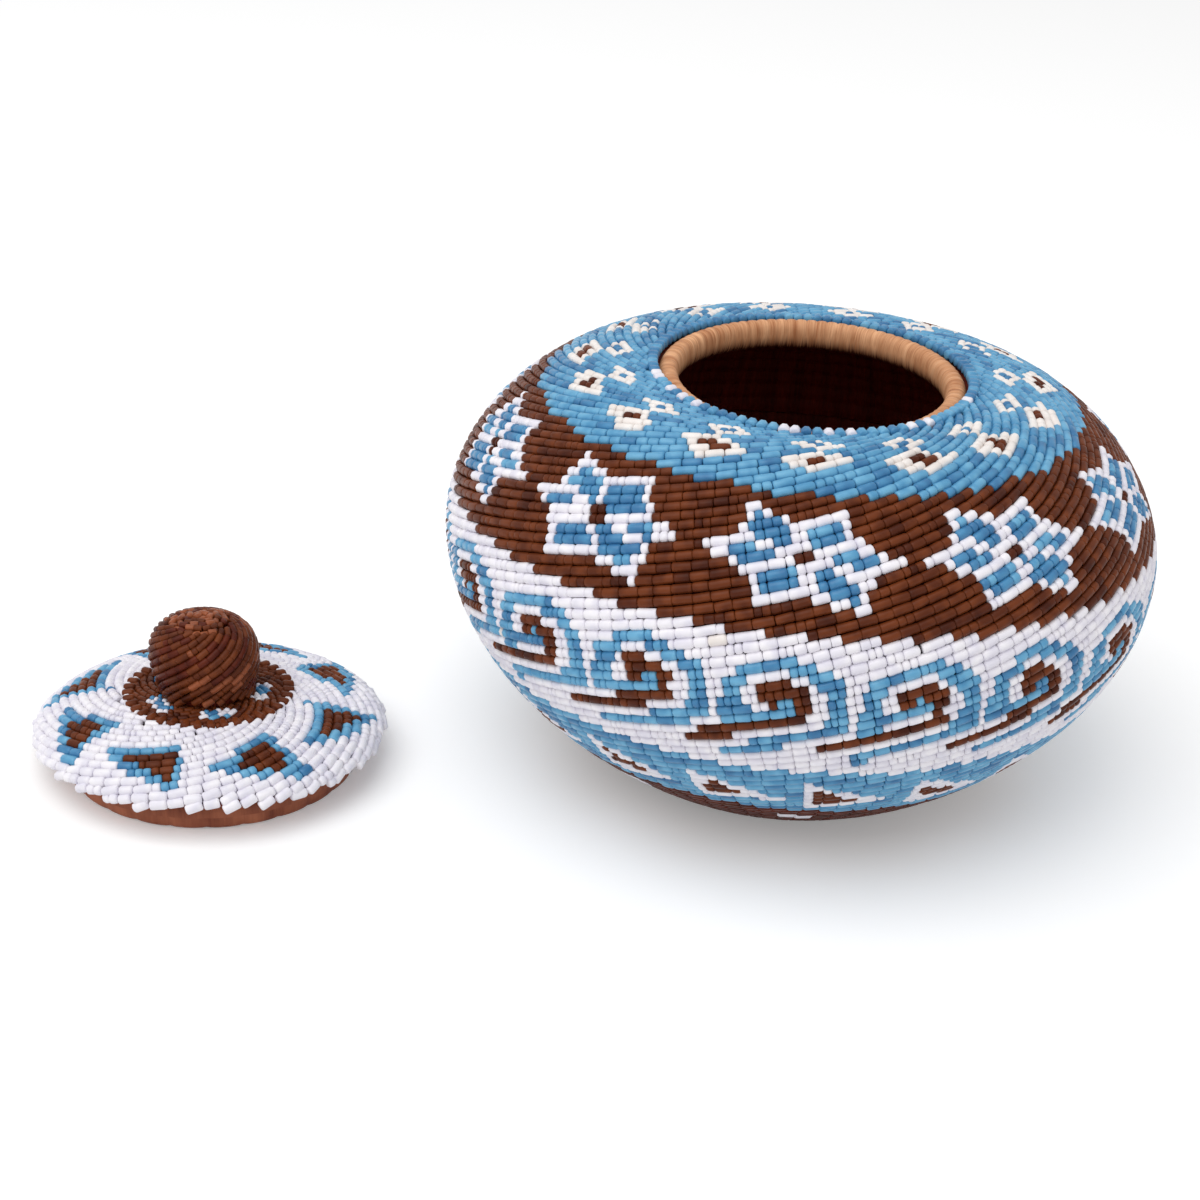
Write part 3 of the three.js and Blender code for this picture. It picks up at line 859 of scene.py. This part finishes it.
# Fret band of netting, round the belly and just below it. White beads, with eighteen hooked frets
# in brown, each inside a blue one whose tail runs beside its own.
fret_top = star_bottom
fret_bottom = 0.0682
fret_count = 18
fret_turn = math.radians(0.7)
fret_turn_at = 0.009
brown_hook = np.array([
    (-0.0038, 0.0070), (0.0, 0.0058), (0.0037, 0.0073), (0.0033, 0.0129), (-0.0173, 0.0203),
    (-0.0172, 0.0183), (0.0011, 0.0117), (0.0016, 0.0091), (-0.0011, 0.0085), (-0.0016, 0.0107),
    (-0.0040, 0.0107),
])
blue_hook = np.array([
    (-0.0091, 0.0072), (-0.0045, 0.0037), (0.0001, 0.0023), (0.0053, 0.0033), (0.0087, 0.0055),
    (0.0097, 0.0082), (0.0086, 0.0147), (-0.0121, 0.0223), (-0.0119, 0.0203), (0.0056, 0.0135),
    (0.0066, 0.0076), (0.0040, 0.0054), (-0.0003, 0.0044), (-0.0041, 0.0056), (-0.0057, 0.0072),
    (-0.0065, 0.0113), (-0.0014, 0.0109), (-0.0010, 0.0088), (0.0016, 0.0091), (0.0010, 0.0114),
    (-0.0105, 0.0152),
])


def paint_fret(across, arc, radius):
    """2 in a brown hook, 1 in a blue one, 0 elsewhere. A tail reaches under the fret to its left."""
    x, y = nearest(across, fret_count, radius), arc - fret_top
    period = 2 * math.pi * radius / fret_count
    motif = np.zeros(len(x), int)
    for number, hook in ((1, blue_hook), (2, brown_hook)):
        motif[inside(hook, x, y) | inside(hook, x - period, y)] = number
    return motif


fret_band = Band(
    pot_side, fret_top, fret_bottom, pot_strands, paint_fret, columns=144, turn=fret_turn, seed=13,
    lean=0.2, lean_from=fret_turn_at,
)
fret_band.follow(star_band)
fret_beads = fret_band.beads(white_mix, blue_mix, brown_mix)
in_fret = fret_band.motif > 0
dress(bead_mesh("fret_netting", *some(fret_beads, ~in_fret)), "pot", "beads_white", "fret_band_net")
dress(bead_mesh("fret_hooks", *some(fret_beads, in_fret)), "pot", "beads_blue", "fret_band_net")

# Lower band of netting. Blue beads, with triangles that point to the right, edged in white and
# filled with brown.
lower_top = fret_bottom
lower_bottom = 0.0852
lower_count = 18
lower_turn = math.radians(5.0)
lower_triangle = np.array([(0.0, 0.0037), (0.0145, 0.0108), (0.0004, 0.0148)])
lower_border = 0.0019


def edged(outline, x, y, border):
    """1 in the border of an outline, 2 further in, 0 outside."""
    within = inside(outline, x, y)
    return within.astype(int) + (within & (edge_gap(outline, x, y) > border))


def paint_lower(across, arc, radius):
    """1 in the border of a triangle, 2 within it, 0 elsewhere."""
    period = 2 * math.pi * radius / lower_count
    return edged(lower_triangle, across % period, arc - lower_top, lower_border)


lower_band = Band(
    pot_side, lower_top, lower_bottom, pot_strands, paint_lower, columns=108, turn=lower_turn, seed=12,
    lean=0.1,
)
lower_band.follow(fret_band)
lower_net = bead_mesh("lower_netting", *lower_band.beads(blue_mix, white_mix, brown_mix))
dress(lower_net, "pot", "beads_blue", "lower_band_net")

# Netting of the foot. The strands run on in dark brown beads, with small white patches, and end at
# the edge of the foot. One strand of longer beads, wound in a snail, closes it underneath.
foot_top = lower_bottom
foot_turn = 0.11
foot_patch_count = 9
foot_patch_arc = 0.0915
foot_patch_half = (0.0026, 0.0018)
snail_pitch = 0.00168
snail_bead = 0.0024
snail_start = 0.0008
snail_inset = 0.0006
snail_length_spread = (0.93, 0.99)
snail_width_share = 0.99
lowest_bead = 0.00101


def paint_foot(across, arc, radius):
    """1 in a small patch low on the foot, 0 elsewhere."""
    x, y = nearest(across, foot_patch_count, radius), arc - foot_patch_arc
    return ((np.abs(x) < foot_patch_half[0]) & (np.abs(y) < foot_patch_half[1])).astype(int)


def snail_beads(random):
    """Beads along a flat spiral on the underside: the arc of such a spiral is pi radius squared
    over pitch, or pitch turn squared over four pi. Bead i lies where that is i bead lengths."""
    start, end = (math.pi * reach**2 / snail_pitch for reach in (snail_start, foot_radius - snail_inset))
    turn = np.sqrt(4 * math.pi * np.arange(start, end, snail_bead) / snail_pitch)
    radius = snail_pitch * turn / (2 * math.pi)
    place = np.stack([radius * np.sin(turn), -radius * np.cos(turn), lowest_bead + 0 * turn], -1)
    along = np.stack([np.cos(turn), np.sin(turn), 0 * turn], -1)
    out = np.tile([0.0, 0.0, -1.0], (len(turn), 1))
    length = snail_bead * random.uniform(*snail_length_spread, len(turn))
    width = np.full(len(turn), snail_pitch * snail_width_share)
    shades = random.choice([RED_BROWN, UMBER], len(turn), p=[0.75, 0.25])
    return [place, along, out, length, width, shades]


foot_band = Band(
    pot_side, foot_top, pot_side.length, pot_strands, paint_foot, columns=90, turn=foot_turn, seed=11
)
foot_band.follow(lower_band)
foot_beads = joined(foot_band.beads({RED_BROWN: 0.75, UMBER: 0.25}, white_mix), snail_beads(random))
foot_beads[0][:, 2] = np.maximum(foot_beads[0][:, 2], lowest_bead)
dress(bead_mesh("foot_netting", *foot_beads), "pot", "beads_dark_brown", "foot_net")

# Lid disc. The lid is a shallow dome of the same bundle, coiled from the middle outwards and ridged
# underneath. Its netting covers the top.
lid_low, lid_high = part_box("lid_net")
lid_place = ((lid_low.x + lid_high.x) / 2, (lid_low.y + lid_high.y) / 2)
lid_radius = (lid_high.x - lid_low.x) / 2
crown_height = 0.0135
crown_pull = 0.022
lid_edge_height = 0.0060
lid_edge_pull = 0.0035
lid_tilt = (0.016, -0.022)
lid_sink = 0.0006
lid_sway = (-0.064, 0.014)
lid_stretch = (0.02, 0.0)
lid_full_move_from = 0.006


def lid_offset(points):
    """The lid is a little wide, lies with its right side a little high and its back a little low,
    and its knob leans to the left. A point rises by the two slopes of the tilt times its place to
    the right and to the back of the middle, less a small sink. It moves by the sway times its
    height, plus the stretch times its place. All of this fades out towards the table."""
    share = smooth_share(points[:, 2], 0, lid_full_move_from)[:, None]
    place = points[:, :2] - lid_place
    shift = np.outer(points[:, 2], lid_sway) + place * lid_stretch
    return share * np.column_stack([shift, place @ np.array(lid_tilt) - lid_sink])


lid_side = Side(
    bezier(
        (0, crown_height), (crown_pull, crown_height), (lid_radius, lid_edge_height + lid_edge_pull),
        (lid_radius, lid_edge_height),
    )
)
under = np.linspace(0, lid_side.arc_at(mouth_radius), snail_steps)
over = np.linspace(lid_side.length, 0, smooth_steps)
under_radius, under_height = lid_side.at(under, wall_depth + wall_thickness - snail_groove(under))
over_radius, over_height = lid_side.at(over, wall_depth)
lid_disc = turned(
    "lid_disc", np.maximum(all_round(under_radius, over_radius), 0), all_round(under_height, over_height),
    aged_willow, poles=True, middle=lid_place,
)
dress(lid_disc, "lid", "willow_dark", "lid_disc_coils", lid_offset)

# Lid flange. One thick coil, wrapped in broad reddish strips of bark, is sewn under the disc. It
# drops inside the bead lip of the mouth and holds the lid in place.
flange_clearance = 0.0004
flange_half_width = 0.0021
flange_half_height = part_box("lid_flange_coil")[1].z / 2
flange_roundness = 3.2
flange_stitches = 26
flange_groove = 0.00018

bark = willow(
    "reddish_bark", "#b06a4c", "#743a28", stitch_count=flange_stitches, along=1, roughness=0.65, fibre=0.35
)
flange = wrapped_ring(
    "lid_flange", mouth_radius - flange_clearance - flange_half_width, flange_half_height,
    (flange_half_width, flange_half_height), flange_roundness, flange_stitches, flange_groove, bark,
    middle=lid_place,
)
dress(flange, "lid", "willow_red", "lid_flange_coil", lid_offset)

# Netting of the lid. White beads wind out from the collar to the edge, where they are looser.
# Eight triangles worked in the same strands are edged in blue and filled with brown.
lid_strands = (28, 0.00172)
collar_radius = 0.0141
collar_arc = lid_side.arc_at(collar_radius)
lid_net_gap = 0.0001
lid_net_top = collar_arc + lid_net_gap
lid_net_short = 0.0002
lid_net_loose_from = 0.0275
lid_turn = math.radians(3.0)
triangle_count = 8
triangle_middle = 0.0228
triangle_radius = float(lid_side.at((lid_net_top + lid_side.length) / 2)[0])
triangle_period = 2 * math.pi * triangle_radius / triangle_count
triangle_outline = np.array([(0.0, -0.0062), (0.0018, 0.0062), (-0.0138, 0.0002)])
triangle_border = 0.0017
triangle_split = 0.25


def paint_lid(across, arc, radius):
    """1 in the border of a triangle, 2 within it, 0 elsewhere. The point of a triangle reaches far
    to its left, so each place is also tried in the next one to its right."""
    x, y = nearest(across, triangle_count, triangle_radius), arc - triangle_middle
    return sum(edged(triangle_outline, x - shift, y, triangle_border) for shift in (0, triangle_period))


lid_band = Band(
    lid_side, lid_net_top, lid_side.length - lid_net_short, lid_strands, paint_lid, columns=64,
    turn=lid_turn, seed=16,
)
lid_beads = lid_band.beads(white_mix, blue_mix, brown_mix, loose_from=lid_net_loose_from)
ground = lid_band.motif == 0
lid_net = bead_mesh("lid_netting", *some(lid_beads, ground), middle=lid_place)
dress(lid_net, "lid", "beads_white", "lid_net", lid_offset)
triangle_place = lid_band.across() / triangle_period + triangle_split
triangle_number = np.round(triangle_place).astype(int) % triangle_count
for number in range(triangle_count):
    name = f"{number + 1:02d}"
    chosen = ~ground & (triangle_number == number)
    triangle = bead_mesh("bead_triangle_" + name, *some(lid_beads, chosen), middle=lid_place)
    dress(triangle, "lid", "beads_blue", "lid_triangle_" + name, lid_offset)

# Collar of netting round the foot of the knob. Brown beads with a toothed edge, and five small
# patches of white and blue beads.
collar_strands = (28, 0.00138)
collar_top = 0.0066
collar_lap = 0.0003
collar_columns = 38
collar_edge_inset = 0.0006
collar_notch = 0.0010
patch_count = 5
patch_turn = math.radians(27)
patch_arc = 0.0091
patch_half = (0.0034, 0.0013)
tooth_length = 0.0019
tooth_width = 0.0014
tooth_rise = 0.0004


def collar_edge(turn):
    """Arc of the toothed edge, which lies nearer to the knob at the front, by the notch times the
    square of the share (1 + cos turn) / 2."""
    return collar_arc - collar_edge_inset - collar_notch * ((1 + np.cos(turn)) / 2) ** 2


def paint_collar(across, arc, radius):
    """1 in a patch, 2 beyond the toothed edge, 0 elsewhere."""
    x, y = nearest(across, patch_count, radius), arc - patch_arc
    motif = ((np.abs(x) < patch_half[0]) & (np.abs(y) < patch_half[1])).astype(int)
    motif[arc > collar_edge(patch_turn + across / radius)] = 2
    return motif


collar_band = Band(
    lid_side, collar_top, collar_arc + collar_lap, collar_strands, paint_collar, columns=collar_columns,
    turn=patch_turn, seed=17,
)
tooth_turn = np.arange(collar_columns) * 2 * math.pi / collar_columns
tooth_place, _, tooth_down, tooth_out = lid_side.axes(
    tooth_turn, collar_edge(tooth_turn), tooth_width / 2 - tooth_rise
)
tooth_beads = [
    tooth_place, tooth_down, tooth_out, np.full(collar_columns, tooth_length),
    np.full(collar_columns, tooth_width), np.full(collar_columns, BROWN),
]
collar_beads = collar_band.beads(brown_mix, {WHITE: 0.6, TEAL: 0.2, BLUE: 0.2}, white_mix)
collar = bead_mesh("collar_netting", *joined(collar_beads, tooth_beads), middle=lid_place)
dress(collar, "lid", "beads_brown", "collar_net", lid_offset)

# Knob. A tight ball of willow is sewn to the middle of the lid. Its netting climbs round it in
# steep rows of small dark beads and closes on top in a bumpy patch.
knob_strands = (23, 0.0016)
knob_radius = 0.0092
knob_widest_height = 0.0198
knob_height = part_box("knob_net")[1].z
knob_waist = 0.0083
knob_low = 0.0136
knob_crown_pull = 0.0066
knob_shoulder_pull = 0.0046
knob_waist_pull = 0.0028
core_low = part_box("knob_core")[0].z
core_depth = 0.0016
core_sides = 48
cap_reach = 0.0052
cap_pitch = 0.00125
cap_room = 1.1
cap_first = 0.2
cap_size_spread = (0.95, 1.15)
cap_depth_spread = (-0.0001, 0.0003)
cap_lean = 0.8
knob_side = Side(
    bezier(
        (0, knob_height), (knob_crown_pull, knob_height),
        (knob_radius, knob_widest_height + knob_shoulder_pull), (knob_radius, knob_widest_height),
    ),
    bezier(
        (knob_radius, knob_widest_height), (knob_radius, knob_widest_height - knob_waist_pull),
        (knob_waist, knob_low + knob_waist_pull), (knob_waist, knob_low),
    ),
)

core_radius, core_height = knob_side.at(np.linspace(knob_side.length, 0, smooth_steps), core_depth)
core_radius = np.concatenate([[0.0, core_radius[0]], np.maximum(core_radius, 0)])
core_height = np.concatenate([[core_low, core_low], core_height])
core = turned(
    "knob_core_ball", np.tile(core_radius, (core_sides, 1)), np.tile(core_height, (core_sides, 1)),
    aged_willow, poles=True, middle=lid_place,
)
dress(core, "lid", "willow_dark", "knob_core", lid_offset)


def paint_plain(across, arc, radius):
    """0 everywhere."""
    return np.zeros(len(across), int)


def cap_beads():
    """Crooked beads in a spiral over the top of the knob. Each takes the square of the pitch times
    its room, so bead i lies at the turn that is the root of four pi i room."""
    random = np.random.default_rng(32)
    count = int(math.pi * cap_reach**2 / (cap_pitch * cap_pitch * cap_room))
    turn = np.sqrt(4 * math.pi * (np.arange(count) + cap_first) * cap_room)
    size = cap_pitch * random.uniform(*cap_size_spread, count)
    depth = cap_pitch / 2 + random.uniform(*cap_depth_spread, count)
    place, right, down, out = knob_side.axes(turn, cap_pitch * turn / (2 * math.pi), depth)
    along = right + down * random.uniform(-cap_lean, cap_lean, count)[:, None]
    along = along / np.linalg.norm(along, axis=1)[:, None]
    # Half the cap beads are the lighter chestnut: a painted highlight on the lit top of the knob.
    shades = random.choice([CHESTNUT_HIGHLIGHT, BROWN, RED_BROWN], count, p=[0.5, 0.3, 0.2])
    return [place, along, out, size, size, shades]


knob_band = Band(
    knob_side, cap_reach, knob_side.length, knob_strands, paint_plain, columns=30, turn=0.0, seed=18
)
# The few chestnut beads on the knob's sides are painted highlight too.
knob_beads = knob_band.beads({CHESTNUT_HIGHLIGHT: 0.15, BROWN: 0.45, RED_BROWN: 0.25, UMBER: 0.15})
knob = bead_mesh("knob_netting", *joined(knob_beads, cap_beads()), middle=lid_place, ridged=True)
dress(knob, "lid", "beads_dark_brown", "knob_net", lid_offset)
